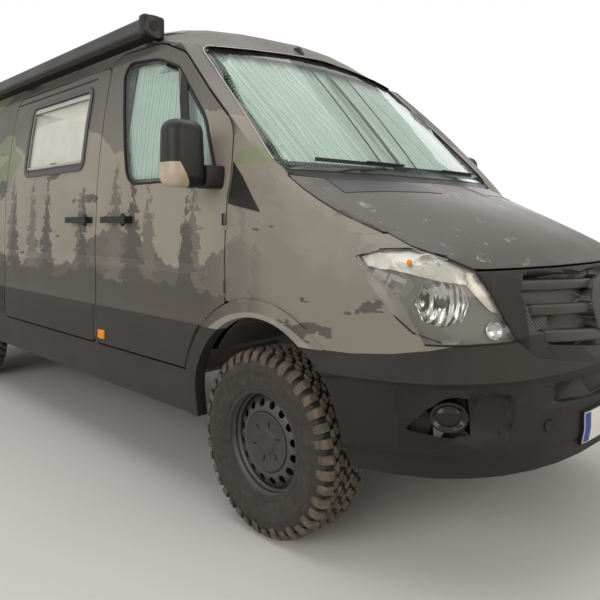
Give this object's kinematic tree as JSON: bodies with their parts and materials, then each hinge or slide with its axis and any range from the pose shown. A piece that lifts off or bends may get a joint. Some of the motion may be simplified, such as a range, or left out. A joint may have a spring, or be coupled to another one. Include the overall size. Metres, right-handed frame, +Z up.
{
  "type": "camper van, medium wheelbase, low roof, on all-terrain tyres",
  "caption": "Camper van with sliding side door, camper window, roof-edge awning, opening cab doors, bonnet and rear doors, steered front wheels.",
  "frame": {"origin": "on the ground below the middle of the overall length, on the centre plane", "axes": "+X forward, +Y to the vehicle's left, +Z up"},
  "size_m": [5.9194, 2.426, 2.43],
  "materials": {
    "body_paint": "matt vinyl film over paint",
    "bonnet_film": "matt dark film, worn",
    "bumper_plastic": "grained",
    "trim_plastic": "satin",
    "window_frame": "satin",
    "glass": "clear",
    "lamp_lens": "clear",
    "tail_lens": "gloss",
    "tyre_rubber": "matt",
    "rim_steel": "satin",
    "chassis_black": "satin",
    "floor_steel": "satin",
    "cast_metal": "cast",
    "exhaust_steel": "heat stained",
    "awning_metal": "powder coated",
    "seat_fabric": "woven"
  },
  "bodies": {
    "root": {"floor_pan": "floor_steel", "chassis_frame": "chassis_black", "roof_panel": "body_paint", "side_wall_left": "body_paint", "side_wall_right": "body_paint", "sliding_door": "body_paint", "camper_window": "window_frame", "camper_pane": "glass", "cowl": "trim_plastic", "wing_left": "body_paint", "wing_right": "body_paint", "front_bumper": "bumper_plastic", "grille": "trim_plastic", "headlamp_left": "lamp_lens", "headlamp_right": "lamp_lens", "windscreen": "glass", "dashboard": "trim_plastic", "steering_wheel": "trim_plastic", "driver_seat": "seat_fabric", "passenger_seat": "seat_fabric", "engine_block": "cast_metal", "rear_axle": "chassis_black", "front_suspension": "chassis_black", "propshaft": "chassis_black", "exhaust": "exhaust_steel", "fuel_tank": "bumper_plastic", "rear_bumper": "bumper_plastic", "tail_lamp_left": "tail_lens", "tail_lamp_right": "tail_lens", "awning": "awning_metal", "fire_wall": "floor_steel", "slam_panel": "chassis_black"},
    "bonnet": {"bonnet": "bonnet_film"},
    "front_door_left": {"front_door_left": "body_paint", "door_glass_left": "glass", "mirror_left": "bumper_plastic"},
    "front_door_right": {"front_door_right": "body_paint", "door_glass_right": "glass", "mirror_right": "bumper_plastic"},
    "rear_door_left": {"rear_door_left": "body_paint"},
    "rear_door_right": {"rear_door_right": "body_paint"},
    "knuckle_left": {"knuckle_left": "cast_metal"},
    "knuckle_right": {"knuckle_right": "cast_metal"},
    "wheel_front_left": {"tyre_front_left": "tyre_rubber", "rim_front_left": "rim_steel"},
    "wheel_front_right": {"tyre_front_right": "tyre_rubber", "rim_front_right": "rim_steel"},
    "wheel_rear_left": {"tyre_rear_left": "tyre_rubber", "rim_rear_left": "rim_steel"},
    "wheel_rear_right": {"tyre_rear_right": "tyre_rubber", "rim_rear_right": "rim_steel"}
  },
  "joints": [
    {"name": "front_door_right_swing", "type": "hinge", "parent": "root", "child": "front_door_right", "pos_m": [1.769, -0.995, 1.2], "axis": [0, 0, 1], "range_deg": [0, 70]},
    {"name": "front_door_left_swing", "type": "hinge", "parent": "root", "child": "front_door_left", "pos_m": [1.769, 0.995, 1.2], "axis": [0, 0, -1], "range_deg": [0, 70]},
    {"name": "rear_door_right_swing", "type": "hinge", "parent": "root", "child": "rear_door_right", "pos_m": [-2.939, -0.805, 1.2], "axis": [0, 0, 1], "range_deg": [0, 180]},
    {"name": "rear_door_left_swing", "type": "hinge", "parent": "root", "child": "rear_door_left", "pos_m": [-2.939, 0.805, 1.2], "axis": [0, 0, -1], "range_deg": [0, 180]},
    {"name": "bonnet_lift", "type": "hinge", "parent": "root", "child": "bonnet", "pos_m": [1.973, 0, 1.449], "axis": [0, -1, 0], "range_deg": [0, 50]},
    {"name": "steer_left", "type": "hinge", "parent": "root", "child": "knuckle_left", "pos_m": [1.959, 0.8, 0.374], "axis": [0, 0, 1], "range_deg": [-35, 35]},
    {"name": "steer_right", "type": "hinge", "parent": "root", "child": "knuckle_right", "pos_m": [1.959, -0.8, 0.374], "axis": [0, 0, 1], "range_deg": [-35, 35]},
    {"name": "spin_front_left", "type": "hinge", "parent": "knuckle_left", "child": "wheel_front_left", "pos_m": [1.959, 0.855, 0.374], "axis": [0, 1, 0], "continuous": true},
    {"name": "spin_front_right", "type": "hinge", "parent": "knuckle_right", "child": "wheel_front_right", "pos_m": [1.959, -0.855, 0.374], "axis": [0, 1, 0], "continuous": true},
    {"name": "spin_rear_left", "type": "hinge", "parent": "root", "child": "wheel_rear_left", "pos_m": [-1.706, 0.858, 0.374], "axis": [0, 1, 0], "continuous": true},
    {"name": "spin_rear_right", "type": "hinge", "parent": "root", "child": "wheel_rear_right", "pos_m": [-1.706, -0.858, 0.374], "axis": [0, 1, 0], "continuous": true}
  ],
  "couplings": [
    {"joint": "steer_right", "follows": "steer_left", "ratio": 1}
  ]
}
